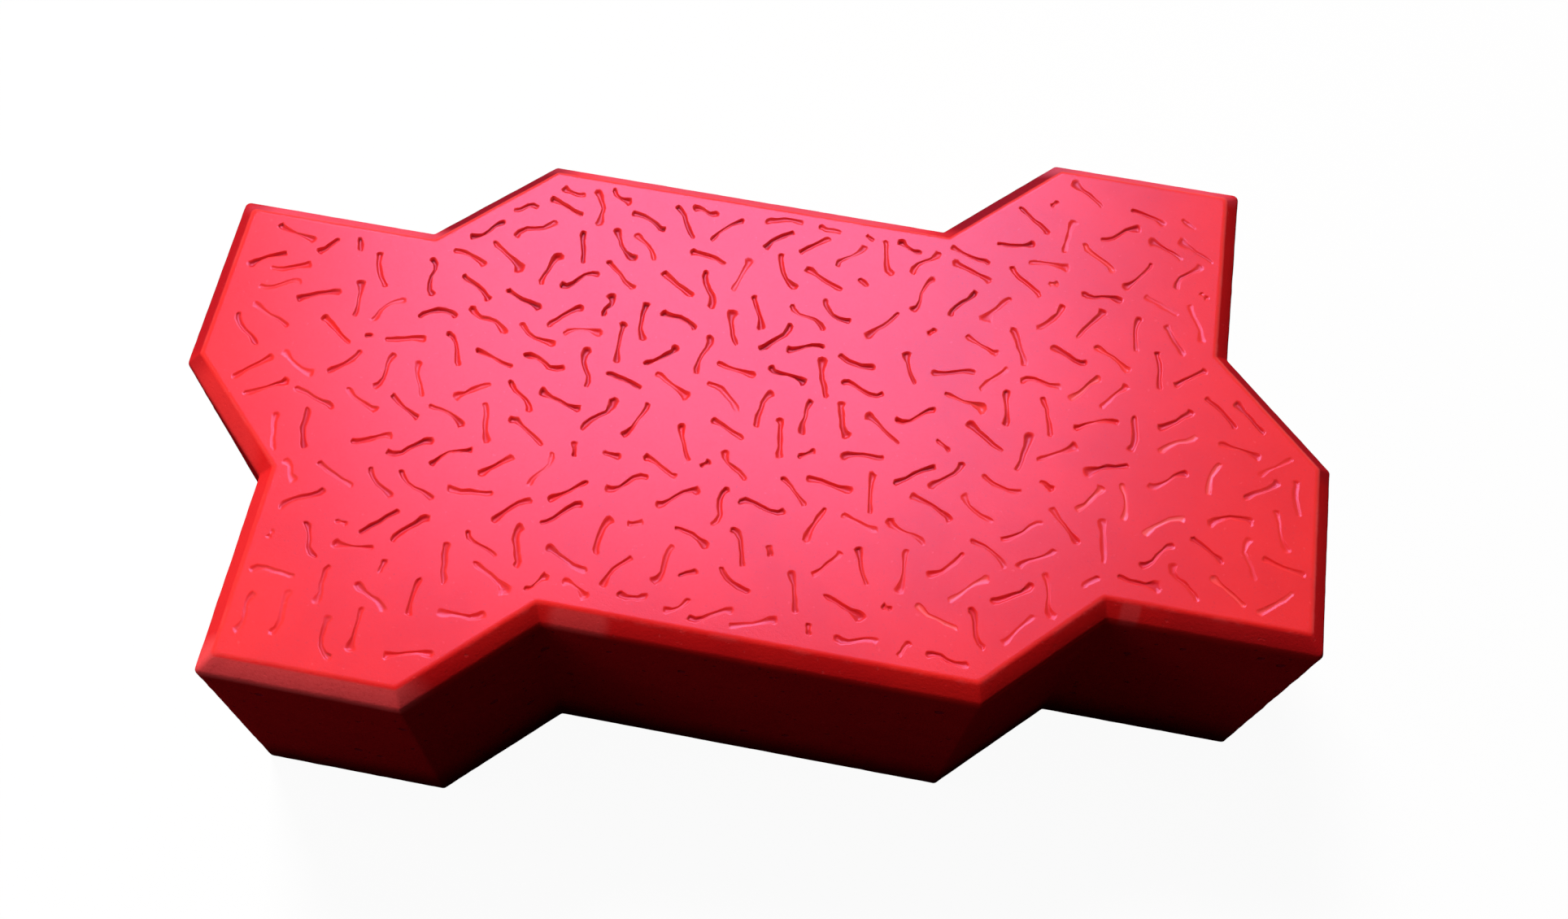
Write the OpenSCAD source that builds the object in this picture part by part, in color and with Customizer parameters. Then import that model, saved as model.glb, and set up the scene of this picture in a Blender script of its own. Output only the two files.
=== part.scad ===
// Interlocking concrete paving stone with a zigzag outline, cast as one piece.
// It lies on its flat bed face, with the chamfered wearing face up.
// The outline is one cell of a repeating laying pattern, drawn in by half a joint on every side,
// so copies of the stone lock together in straight courses or turned by a quarter.

/* [Laying pattern] */
// Length that one stone takes up in its course, with one joint
module_length = 225; // [180:0.5:300]
// Run and rise of each slanting edge of the outline
zigzag_step = 22.5; // [14:0.5:30]
// Joint left open between neighbouring stones
joint_width = 3; // [1:0.5:6]

/* [Stone] */
// Height from the bed face to the wearing face
stone_height = 65; // [40:1:100]
// Width of the chamfer round the wearing face, seen from above
chamfer_width = 3.5; // [1.5:0.5:8]
// Depth of the chamfer down the sides
chamfer_depth = 3; // [1.5:0.5:8]

/* [Hidden] */

// Every side of the cell is a row of equal waves: straight, slant, straight.
// The cell is twice as long as it is deep, so its long sides have two waves and its short sides one.
waves_per_side = [2, 1, 2, 1];
wave_length = module_length / max(waves_per_side);
// A wave runs zigzag_step to one side over its length, so this is what is left for its two straights.
straight = (sqrt(pow(wave_length, 2) - pow(zigzag_step, 2)) - zigzag_step) / 2;

// Edges of one side as vectors heading along +X, where the straights of touching waves are one edge.
function side_edges(waves) = [
    for (i = [0:waves - 1]) each [[(i == 0 ? 1 : 2) * straight, 0], [zigzag_step, zigzag_step]],
    [straight, 0]
];

function quarter_turned(v, turns) = turns == 0 ? v : quarter_turned([v.y, -v.x], turns - 1);

function sum_of_first(count, list) = count == 0 ? [0, 0] : list[count - 1] + sum_of_first(count - 1, list);

// The edges go clockwise, starting at the back left corner.
edges = [
    for (side = [0:3])
        for (edge = side_edges(waves_per_side[side])) quarter_turned(edge, side)
];
edge_count = len(edges);

// The cell is the same after half a turn, so its centre is halfway along the first half of its edges.
cell_start = -sum_of_first(edge_count / 2, edges) / 2;
cell = [for (i = [0:edge_count - 1]) cell_start + sum_of_first(i, edges)];

// Direction into the cell across an edge, which lies on the right of a clockwise edge.
function inward(i) = [edges[i].y, -edges[i].x] / norm(edges[i]);

// Move of a corner when both of its edges go in by 1, at outer and re-entrant corners alike.
function mitre(i) =
    let (before = inward((i + edge_count - 1) % edge_count), after = inward(i))
    (before + after) / (1 + before * after);

function inset_corner(i, distance) = cell[i] + distance * mitre(i);

side_inset = joint_width / 2;
outline = [for (i = [0:edge_count - 1]) inset_corner(i, side_inset)];

// The cutter of the chamfer reaches past the side and the wearing face by this share of the chamfer.
overcut = 0.25;

// Three-cornered ring, mitred at every corner of the outline, whose sloping face is the chamfer.
module chamfer_cutter() {
    outer = side_inset - overcut * chamfer_width;
    inner = side_inset + (1 + overcut) * chamfer_width;
    top = stone_height + overcut * chamfer_depth;
    bottom = stone_height - (1 + overcut) * chamfer_depth;
    section = [[outer, bottom], [inner, top], [outer, top]];
    sides = len(section);
    points = [
        for (i = [0:edge_count - 1])
            for (s = section) [each inset_corner(i, s[0]), s[1]]
    ];
    function index(i, s) = (i % edge_count) * sides + s % sides;
    faces = [
        for (i = [0:edge_count - 1])
            for (s = [0:sides - 1])
                [index(i, s), index(i, s + 1), index(i + 1, s + 1), index(i + 1, s)]
    ];
    polyhedron(points, faces);
}

module paving_stone() {
    color([0.75, 0.09, 0.1])
        difference() {
            linear_extrude(stone_height) polygon(outline);
            chamfer_cutter();
        }
}

paving_stone();
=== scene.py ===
"""Red concrete paving stone with a zigzag outline and pressed strokes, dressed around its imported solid."""

import math
import random
from collections import Counter

import bpy
from bpy.props import FloatProperty, FloatVectorProperty, IntProperty, PointerProperty
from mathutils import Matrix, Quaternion, Vector


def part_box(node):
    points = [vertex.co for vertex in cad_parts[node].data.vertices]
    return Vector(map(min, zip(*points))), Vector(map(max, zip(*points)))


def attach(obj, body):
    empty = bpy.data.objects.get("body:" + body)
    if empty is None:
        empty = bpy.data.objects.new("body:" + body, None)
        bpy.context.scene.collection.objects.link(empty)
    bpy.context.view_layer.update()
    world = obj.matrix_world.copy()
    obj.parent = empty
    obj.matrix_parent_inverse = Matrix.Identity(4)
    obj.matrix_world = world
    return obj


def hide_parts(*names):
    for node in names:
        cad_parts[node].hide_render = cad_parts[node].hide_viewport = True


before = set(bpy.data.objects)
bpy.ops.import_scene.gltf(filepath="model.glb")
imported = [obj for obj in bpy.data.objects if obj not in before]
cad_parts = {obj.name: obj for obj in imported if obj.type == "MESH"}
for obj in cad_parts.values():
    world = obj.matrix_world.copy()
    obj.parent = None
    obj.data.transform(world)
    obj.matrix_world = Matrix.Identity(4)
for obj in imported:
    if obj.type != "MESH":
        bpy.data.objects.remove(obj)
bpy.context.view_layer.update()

bl_info = {
    "name": "Concrete paving stone",
    "version": (1, 0, 0),
    "blender": (4, 5, 0),
    "location": "View3D > Sidebar > Paving",
    "description": "Makes an interlocking red concrete paving stone and a plain stage for it",
    "category": "Add Mesh",
}

MM = 0.001
NODE = "paving_stone"
LOWEST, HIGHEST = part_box(NODE)
STONE_SIZE = HIGHEST - LOWEST

# The outline is a ring of equal waves, each of three edges: straight, slant, straight.
WAVES = 6
EDGES_PER_WAVE = 3
OUTLINE_EDGES = WAVES * EDGES_PER_WAVE
# Six waves make the four sides of the outline: two, one, two and one.
SIDES_PER_WAVE = 4 / WAVES

# Two edges in line agree in direction at least this far, and there is no corner to round between them.
IN_LINE = 0.99

# Corners of the side's section, from the bed face up to the wearing face.
ON_BED, BED_EDGE, SHOULDER, ARRIS, ON_FACE = range(5)
# Level ends of that section on the bed face and on the wearing face, as shares of their edges' radii.
BED_MARGIN = 2.4
FACE_MARGIN = 0.45
# Facets of a rounded corner or edge.
ROUNDING_FACETS = 4
# Points that lie closer than this are joined.
WELD_DISTANCE = 0.004 * MM
# The cast edges stray in broad and in fine waves, so many along a metre. Each has its share of the wander,
# and a first share keeps the edges inside the true ones.
BROAD_WAVES, FINE_WAVES = 90, 420
INWARD_STRAY, BROAD_STRAY, FINE_STRAY = 0.25, 0.5, 0.9

# A stroke is a patch with this many facets around it and this many rings from its lip to its floor.
STROKE_FACETS = 20
STROKE_RINGS = 4
# Width of a stroke's floor, as a share of its width between the lips.
FLOOR_SHARE = 0.62
# Length of a stroke's rounded end, as a share of its half width.
END_BLUNTNESS = 0.85
# Share of the middle line's turn that a stroke's outline follows.
FOLLOWED_TURN = 0.7
# Share of a stroke's width that is left where the stroke fades out.
FADED_WIDTH = 0.4
# Unevenness of a stroke's middle line, width and depth, as waves along a metre.
WIGGLE_WAVES, LUMP_WAVES, HUMP_WAVES = 300, 620, 420
# The lumps' strength, what they take off the width, and the least and most that they leave of it.
LUMP_STRENGTH, LUMP_LOSS = 2.6, 0.3
LEAST_LUMP, MOST_LUMP = 0.4, 1.3

# Kinds of strokes, and how many of a hundred are of each kind.
STROKE_KINDS = {"bone": 31, "crook": 29, "arc": 12, "club": 19, "dot": 9}
# Main directions of the strokes in degrees, how many of a hundred lie near each, and how far they spread.
# None stands for any direction.
STROKE_LIES = {10: 11, 43: 27, -28: 32, 97: 24, None: 6}
LIE_SPREAD = 11
# Points at which a stroke's middle line is compared with its neighbours.
SPINE_POINTS = 7
# Tries at each stroke's place and direction, and how far a try may stray as a share of the spacing. The
# later tries are shorter where a stroke doesn't fit. More room than enough makes no difference.
STROKE_TRIES = 40
STROKE_JITTER = 0.32
SHORTER_TRY = 0.6
ENOUGH_ROOM = 1.9 * MM
# Least width of plain face between a stroke and the rounded edge of the wearing face.
EDGE_GAP = 0.45 * MM
# The strokes are worn shallower away from this place of the face. The wear grows between two shares of an
# oval about it, which has this half length and half width.
WEAR_CENTRE = Vector((-35 * MM, 28 * MM))
WEAR_REACH = Vector((125 * MM, 80 * MM))
WEAR_FROM, WEAR_TO = 0.3, 1.15
# Share of all strokes that were pressed only faintly, and what that leaves of their depth, dark dust and
# painted shade.
FAINT_SHARE = 0.2
FAINT_DEPTH, FAINT_DUST_SHADE = 0.5, 0.45
# Share of the most worn strokes that hold pale dust, which also paints a highlight, from this far to the
# right of the middle. It falls off to the least part of that towards the left. The strength of the pale dust
# lies in a range.
PALE_SHARE = 0.28
PALE_REACH = 90 * MM
LEAST_PALE = 0.1
PALE_DUST_HIGHLIGHT = 0.2, 0.7

# Stretches of the chamfer with painted light, as ovals seen from above. Each has its middle X, middle Y,
# half length and half width in millimetres, its turn in degrees, and the strength of its painted highlight,
# of its painted shade and of its painted sheen.
CHAMFER_LIGHT_PATCHES = (
    (-77, -74, 26, 8, 0, 0.50, 0.0, 0.0),
    (-26, -52, 6, 6, 0, 0.28, 0.0, 0.0),
    (81, -29, 2, 6, 0, 0.2, 0.0, 0.0),
    (105, -29, 18, 8, 0, 0.0, 0.2, 0.0),
    (-110, -23, 16, 8, -45, 0.15, 0.0, 0.0),
    (-96, -55, 24, 8, 90, 0.10, 0.15, 0.0),
    (-95, 29, 22, 5, 0, 0.0, 0.0, 0.55),
    (-11, 52, 42, 5, 0, 0.0, 0.0, 0.55),
    (74, 74, 22, 5, 0, 0.0, 0.0, 0.55),
    (-64, 42, 18, 8, 45, 0.0, 0.85, 0.0),
    (46, 64, 18, 8, 45, 0.0, 0.85, 0.0),
    (108, 20, 18, 8, -45, 0.0, 0.6, 0.0),
    (96, 55, 26, 8, 90, 0.0, 0.2, 0.0),
    (118, -11, 26, 8, 90, 0.0, 0.2, 0.0),
    (-118, 11, 24, 8, 90, 0.0, 0.5, 0.0),
)
# An oval fades out between these shares of its size, and its height is so great that heights hardly count.
OVAL_FADE = 0.7, 1.2
OVAL_HEIGHT = 1000
# Patterns of the concrete: their number per millimetre, their detail and the roughness of that detail.
MOTTLE = 0.035, 3.0, 0.55
CLOUD = 0.16, 3.0, 0.6
GRAIN = 1.7, 3.0, 0.65
SAND = 4.5, 2.0, 0.6
SPECKS = 0.8, 2.0, 0.5
# Closeness of the sparse and the dense air holes, as their number per millimetre.
SPARSE_HOLES, DENSE_HOLES = 0.21, 0.55
# Every air hole lies in a cell with a number between 0 and 1. Between these two numbers it grows to the
# largest radius, and its rim is soft, both as shares of a cell.
HOLE_GROWTH = 0.6, 1.0
LARGEST_HOLE = 0.2
HOLE_RIM = -0.05, 0.03
# Relief of the patterns, of the grain on the sides and of the air holes, in millimetres.
CLOUD_RELIEF, GRAIN_RELIEF, SAND_RELIEF, SPECK_RELIEF = 0.05, 0.05, 0.018, 0.02
SIDE_RELIEF, HOLE_RELIEF = 0.10, 0.4
# Strength of the deep pigment in the clouds, and of the painted shade on the chamfer and on the sides, where
# clouds add to it.
DEEP_CLOUDS, CHAMFER_SHADE, SIDE_SHADE, SIDE_SHADE_CLOUDS = 0.15, 0.4, 0.3, 0.8
# Strength of the pale grains, the specks and the worn arris, and of the dark grains and the painted shade in
# the air holes.
PALE_GRAINS, PALE_SPECKS, PALE_ARRIS = 0.12, 0.15, 0.12
DARK_GRAINS, HOLE_SHADE = 0.25, 0.6
# Strength of the painted shade on the sides, and of the painted shade that darkens the foot of the sides.
SIDE_DARK_SHADE, FOOT_SHADE_STRENGTH = 0.25, 0.85
# How much the grain and the clouds change the roughness, and the share of the film that the strokes have.
GRAIN_DULLNESS, CLOUD_DULLNESS = 0.25, 0.2
STROKE_FILM = 0.7
# Pairs of distances in millimetres. Between them, going up, the look of the sides with its painted shade
# ends below the shoulder, and below the top the pressed face begins and the rubbed arris begins and ends.
SIDE_FADE = 2.4, 0.4
FACE_FADE = 0.5, 0.06
ARRIS_FADE_IN, ARRIS_FADE_OUT = (0.9, 0.3), (0.12, 0.02)
# Height of the painted shade that darkens the foot of the sides, how ragged it is, and where it begins above
# the bed face, in millimetres.
FOOT_SHADE_HEIGHT, FOOT_SHADE_RAGGEDNESS = 17, 6
FOOT_SHADE_RIM = 0.1, 1.0

# Each light's heading and elevation in degrees, and its distance and size in metres. Headings are clockwise
# from the back.
LIGHT_PLACES = {"key": (-30, 50, 3.0, 0.9), "fill": (-107, 48, 0.38, 0.2), "window": (-10, 54, 1.2, 0.7)}
# Share of the floor's own white glow where it is seen, and the grey that it has for other rays.
FLOOR_GLOW = 0.95
FLOOR_GREY = (0.10, 0.10, 0.10, 1)
# The room is dim for reflected rays up to the first of these Y directions, and white from the second.
ROOM_FADE = -0.3, 0.3
WHITE = (1, 1, 1, 1)
# Width of the camera's sensor in millimetres, and the nearest that it sees in metres.
SENSOR_WIDTH = 36
NEAREST_SEEN = 0.01

# Numbers that every stroke carries as point attributes, and attributes that only the geometry tree needs.
STROKE_NUMBERS = ("turn", "half_length", "waist", "head_width", "tail_width", "bow", "head_hook",
                  "tail_hook", "head_depth", "tail_depth", "fade", "dirt")
TREE_ATTRIBUTES = ("mitre", "bent", "patch", "middle")


class StoneShape(bpy.types.PropertyGroup):
    """Sizes of the stone that aren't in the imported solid's box."""

    joint_width: FloatProperty(
        name="Joint width", description="Joint left open between neighbouring stones",
        default=3 * MM, min=0, unit="LENGTH")
    chamfer_width: FloatProperty(
        name="Chamfer width", description="Width of the chamfer round the wearing face, seen from above",
        default=3.5 * MM, min=0, unit="LENGTH")
    chamfer_depth: FloatProperty(
        name="Chamfer depth", description="Depth of the chamfer down the sides",
        default=3 * MM, min=0, unit="LENGTH")
    corner_radius: FloatProperty(
        name="Corner radius", description="Rounding of the outline's corners, seen from above",
        default=1.1 * MM, min=0, unit="LENGTH")
    arris_radius: FloatProperty(
        name="Arris radius", description="Rounding of the edge of the wearing face",
        default=1.8 * MM, min=0, unit="LENGTH")
    bed_radius: FloatProperty(
        name="Bed radius", description="Rounding of the edge of the bed face",
        default=0.65 * MM, min=0, unit="LENGTH")
    shoulder_radius: FloatProperty(
        name="Shoulder radius", description="Rounding between the chamfer and the sides",
        default=1.8 * MM, min=0, unit="LENGTH")
    facet_length: FloatProperty(
        name="Facet length", description="Longest facet along the outline and up the sides",
        default=1.8 * MM, min=0.5 * MM, unit="LENGTH")
    edge_wander: FloatProperty(
        name="Edge wander", description="How far the cast sides and edges stray from their true lines",
        default=0.22 * MM, min=0, unit="LENGTH")


class StrokePattern(bpy.types.PropertyGroup):
    """The short strokes pressed into the wearing face."""

    spacing: FloatProperty(
        name="Spacing", description="Distance between the middles of neighbouring strokes",
        default=9.3 * MM, min=5 * MM, unit="LENGTH")
    length: FloatProperty(
        name="Length", description="Usual length of a stroke",
        default=8.9 * MM, min=2 * MM, unit="LENGTH")
    width: FloatProperty(
        name="Width", description="Usual width of a stroke at its middle",
        default=1.12 * MM, min=0.4 * MM, unit="LENGTH")
    depth: FloatProperty(
        name="Depth", description="Usual depth of a stroke",
        default=0.7 * MM, min=0.1 * MM, unit="LENGTH")
    lip: FloatProperty(
        name="Lip", description="Width of the soft edge round a stroke",
        default=0.2 * MM, min=0.1 * MM, unit="LENGTH")
    gap: FloatProperty(
        name="Gap", description="Least width of plain face between two strokes",
        default=0.9 * MM, min=0.4 * MM, unit="LENGTH")
    missing: FloatProperty(
        name="Missing", description="Share of the strokes that are left out",
        default=0.02, min=0, max=1, subtype="FACTOR")
    end_wear: FloatProperty(
        name="End wear", description="Share of its depth that a most worn stroke has lost",
        default=0.6, min=0, max=1, subtype="FACTOR")
    seed: IntProperty(name="Seed", description="Fixed seed of the strokes' places and shapes", default=2)


class ConcreteFinish(bpy.types.PropertyGroup):
    """Colours and gloss of the dyed concrete, with the colours of its painted shade, highlights and sheen.
    """

    pigment: FloatVectorProperty(
        name="Pigment", description="Colour of the dyed concrete",
        default=(0.86, 0.016, 0.013), subtype="COLOR", min=0, max=1)
    deep_pigment: FloatVectorProperty(
        name="Deep pigment", description="Colour of the richer patches",
        default=(0.66, 0.006, 0.010), subtype="COLOR", min=0, max=1)
    # Also the colour of the painted shade in the strokes and in the air holes.
    groove_dust_and_shade: FloatVectorProperty(
        name="Groove dust and shade", description="Colour of the dust and painted shade in the strokes and air holes, and of the dark grains",
        default=(0.22, 0.008, 0.036), subtype="COLOR", min=0, max=1)
    # Painted shade on the sides and on parts of the chamfer.
    painted_shade: FloatVectorProperty(
        name="Painted shade", description="Colour of the painted shade on the sides and on parts of the chamfer",
        default=(0.15, 0.008, 0.018), subtype="COLOR", min=0, max=1)
    # Painted shade that darkens the foot of the sides.
    foot_shade: FloatVectorProperty(
        name="Foot shade", description="Colour of the painted shade that darkens the foot of the sides",
        default=(0.05, 0.003, 0.003), subtype="COLOR", min=0, max=1)
    # Also the colour of the painted highlights on the chamfer and in the strokes.
    bloom_and_highlight: FloatVectorProperty(
        name="Bloom and highlight", description="Colour of the pale lime specks, worn edges, pale dust and painted highlights",
        default=(1.0, 0.13, 0.14), subtype="COLOR", min=0, max=1)
    # Painted sheen on the chamfers along the back.
    painted_sheen: FloatVectorProperty(
        name="Painted sheen", description="Colour of the painted sheen on the chamfers along the back",
        default=(0.74, 0.12, 0.19), subtype="COLOR", min=0, max=1)
    roughness: FloatProperty(
        name="Roughness", description="Usual roughness of the bare concrete",
        default=0.8, min=0, max=1, subtype="FACTOR")
    film: FloatProperty(
        name="Film", description="Strength of the satin film that pressing leaves on the wearing face",
        default=0.64, min=0, max=1, subtype="FACTOR")
    film_roughness: FloatProperty(
        name="Film roughness", description="Roughness of the satin film",
        default=0.28, min=0, max=1, subtype="FACTOR")


class StageLook(bpy.types.PropertyGroup):
    """The camera, the floor and the lights."""

    camera_aim: FloatVectorProperty(
        name="Camera aim", description="Point on the wearing face that the camera looks at",
        default=(-5.0 * MM, -26.9 * MM, HIGHEST.z), subtype="TRANSLATION", unit="LENGTH")
    camera_distance: FloatProperty(
        name="Camera distance", description="Distance from the camera to the point it looks at",
        default=317.1 * MM, unit="LENGTH")
    camera_heading: FloatProperty(
        name="Camera heading", description="Direction the camera looks in, clockwise from the back",
        default=math.radians(-8.71), subtype="ANGLE")
    camera_elevation: FloatProperty(
        name="Camera elevation", description="How far the camera stands above the horizon",
        default=math.radians(66.64), subtype="ANGLE")
    camera_tilt: FloatProperty(
        name="Camera tilt", description="Turn of the camera about its line of sight",
        default=math.radians(2.2), subtype="ANGLE")
    focal_length: FloatProperty(
        name="Focal length", description="Focal length of the camera in millimetres",
        default=36.15)
    camera_shift: FloatVectorProperty(
        name="Camera shift", description="Shift of the picture, as a share of its width",
        size=2, default=(0.0494, 0.0403))
    floor_size: FloatProperty(
        name="Floor size", description="Side of the square floor", default=8.0, unit="LENGTH")
    floor_colour: FloatVectorProperty(
        name="Floor colour", description="Colour of the floor as the camera sees it",
        default=(0.92, 0.92, 0.92), subtype="COLOR", min=0, max=1)
    key_colour: FloatVectorProperty(
        name="Key colour", description="Colour of the main soft light",
        default=(1.0, 0.97, 0.97), subtype="COLOR", min=0, max=1)
    key_power: FloatProperty(
        name="Key power", description="Power of the main soft light", default=106.0, unit="POWER")
    fill_power: FloatProperty(
        name="Fill power", description="Power of the small soft light on the left",
        default=0.31, unit="POWER")
    window_colour: FloatVectorProperty(
        name="Window colour", description="Colour of the cool light behind the stone that gives its sheen",
        default=(0.40, 0.45, 1.0), subtype="COLOR", min=0, max=1)
    window_power: FloatProperty(
        name="Window power", description="Power of the cool light", default=18.5, unit="POWER")
    ambient: FloatProperty(
        name="Ambient", description="Level of the light that comes from all round", default=0.025)


def find_socket(sockets, key):
    """The socket of that place, name or identifier among those that a node's settings leave in use."""
    used = [s for s in sockets if s.enabled]
    if isinstance(key, int):
        return used[key]
    return next(s for s in used if key in (s.identifier, s.name))


class Signal:
    """One output of a node. Arithmetic on it adds Math nodes, or Vector Math nodes for vectors."""

    def __init__(self, nodes, socket):
        self.nodes = nodes
        self.socket = socket

    def output(self, name):
        """Another output of the same node."""
        return Signal(self.nodes, find_socket(self.socket.node.outputs, name))

    def __add__(self, other):
        return self.nodes.math("ADD", self, other)

    def __radd__(self, other):
        return self.nodes.math("ADD", other, self)

    def __sub__(self, other):
        return self.nodes.math("SUBTRACT", self, other)

    def __rsub__(self, other):
        return self.nodes.math("SUBTRACT", other, self)

    def __mul__(self, other):
        return self.nodes.math("MULTIPLY", self, other)

    def __rmul__(self, other):
        return self.nodes.math("MULTIPLY", other, self)

    def __truediv__(self, other):
        return self.nodes.math("DIVIDE", self, other)

    def __rtruediv__(self, other):
        return self.nodes.math("DIVIDE", other, self)

    def __neg__(self):
        return self.nodes.math("MULTIPLY", self, -1)

    def __mod__(self, other):
        return self.nodes.math("MODULO", self, other)

    def __gt__(self, other):
        return self.nodes.math("GREATER_THAN", self, other)

    def __lt__(self, other):
        return self.nodes.math("LESS_THAN", self, other)

    def floor(self):
        return self.nodes.math("FLOOR", self)

    def equals(self, number):
        """1 where a whole number is that one, and 0 elsewhere."""
        return self.nodes.math("COMPARE", self, number, 0.1)


class Nodes:
    """Adds nodes to one shader tree or geometry tree."""

    def __init__(self, tree):
        self.tree = tree

    def add(self, kind, settings=None, sockets=None, output=0):
        """Adds a node: its settings first, then the values or links of its sockets."""
        node = self.tree.nodes.new(kind)
        for name, value in (settings or {}).items():
            setattr(node, name, value)
        for key, value in (sockets or {}).items():
            socket = find_socket(node.inputs, key)
            for part in value if isinstance(value, list) else [value]:
                if isinstance(part, Signal):
                    self.tree.links.new(part.socket, socket)
                else:
                    socket.default_value = part
        if len(node.outputs):
            return Signal(self, find_socket(node.outputs, output))
        return None

    def math(self, operation, *values):
        """A Math node, or a Vector Math node for vectors. A vector times a number is scaled."""
        vectors = [isinstance(v, Signal) and v.socket.type == "VECTOR" for v in values]
        if not any(vectors):
            return self.add("ShaderNodeMath", {"operation": operation}, dict(enumerate(values)))
        if operation in ("MULTIPLY", "DIVIDE") and not all(vectors):
            vector, number = values if vectors[0] else values[::-1]
            factor = 1 / number if operation == "DIVIDE" else number
            return self.add("ShaderNodeVectorMath", {"operation": "SCALE"}, {0: vector, "Scale": factor})
        return self.add("ShaderNodeVectorMath", {"operation": operation}, dict(enumerate(values)))

    def vector(self, x=0, y=0, z=0):
        return self.add("ShaderNodeCombineXYZ", {}, {"X": x, "Y": y, "Z": z})

    def turned(self, vector, angle):
        """A vector turned about Z."""
        return self.add("ShaderNodeVectorRotate", {"rotation_type": "Z_AXIS"},
                        {"Vector": vector, "Angle": angle})

    def step(self, value, low, high):
        """A smooth step from 0 at low to 1 at high."""
        return self.add("ShaderNodeMapRange", {"interpolation_type": "SMOOTHSTEP"},
                        {"Value": value, "From Min": low, "From Max": high, "To Min": 0.0, "To Max": 1.0})

    def blend(self, factor, first, second):
        """A number between two numbers."""
        return self.add("ShaderNodeMix", {"data_type": "FLOAT"},
                        {"Factor": factor, "A": first, "B": second})

    def tint(self, factor, first, second, how="MIX"):
        """A colour mixed from two colours."""
        return self.add("ShaderNodeMix", {"data_type": "RGBA", "blend_type": how},
                        {"Factor": factor, "A": first, "B": second})

    def noise(self, place, scale, detail=2.0, roughness=0.5):
        return self.add("ShaderNodeTexNoise", {},
                        {"Vector": place, "Scale": scale, "Detail": detail, "Roughness": roughness})

    def index(self):
        return self.add("GeometryNodeInputIndex")

    def position(self):
        return self.add("GeometryNodeInputPosition")

    def attribute(self, name, kind="FLOAT"):
        return self.add("GeometryNodeInputNamedAttribute", {"data_type": kind}, {"Name": name})

    def store(self, geometry, name, value, kind="FLOAT"):
        return self.add("GeometryNodeStoreNamedAttribute", {"data_type": kind, "domain": "POINT"},
                        {"Geometry": geometry, "Name": name, "Value": value})

    def at_index(self, value, index):
        """A vector field's value at another point of the same geometry."""
        return self.add("GeometryNodeFieldAtIndex", {"data_type": "FLOAT_VECTOR", "domain": "POINT"},
                        {"Value": value, "Index": index})

    def sample(self, geometry, value, index):
        """A vector field's value at a point of another geometry."""
        return self.add("GeometryNodeSampleIndex", {"data_type": "FLOAT_VECTOR", "domain": "POINT"},
                        {"Geometry": geometry, "Value": value, "Index": index})

    def count(self, geometry, component):
        return self.add("GeometryNodeAttributeDomainSize", {"component": component},
                        {"Geometry": geometry}, "Point Count")

    def place(self, geometry, position):
        return self.add("GeometryNodeSetPosition", {}, {"Geometry": geometry, "Position": position})

    def join(self, *geometries):
        return self.add("GeometryNodeJoinGeometry", {}, {"Geometry": list(geometries)})

    def weld(self, geometry):
        """Joins points that lie on each other."""
        return self.add("GeometryNodeMergeByDistance", {},
                        {"Geometry": geometry, "Distance": WELD_DISTANCE})

    def line_of(self, count):
        """An open line of that many points, to be put in place by their index."""
        line = self.add("GeometryNodeCurvePrimitiveLine")
        return self.add("GeometryNodeResampleCurve", {"mode": "COUNT"}, {"Curve": line, "Count": count})

    def rounded(self, curve, radius):
        return self.add("GeometryNodeFilletCurve", {"mode": "POLY"}, {
            "Curve": curve, "Count": ROUNDING_FACETS, "Radius": radius, "Limit Radius": True})

    def divided(self, curve, longest):
        """A curve whose segments are cut so that none is longer than that."""
        position = self.position()
        following = self.at_index(position, (self.index() + 1) % self.count(curve, "CURVE"))
        length = self.add("ShaderNodeVectorMath", {"operation": "DISTANCE"},
                          {0: position, 1: following}, "Value")
        cuts = (length / longest).floor()
        return self.add("GeometryNodeSubdivideCurve", {}, {"Curve": curve, "Cuts": cuts})

    def open_edges(self, mesh, where=None):
        """The open edges of a mesh as closed curves."""
        single = self.add("GeometryNodeInputMeshEdgeNeighbors").equals(1)
        chosen = single if where is None else single * where
        return self.add("GeometryNodeMeshToCurve", {}, {"Mesh": mesh, "Selection": chosen})

    def filled(self, curves):
        return self.add("GeometryNodeFillCurve", {"mode": "TRIANGLES"}, {"Curve": curves})

    def flipped(self, mesh):
        return self.add("GeometryNodeFlipFaces", {}, {"Mesh": mesh})

    def moved(self, geometry, offset):
        return self.add("GeometryNodeTransform", {}, {"Geometry": geometry, "Translation": offset})


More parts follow.
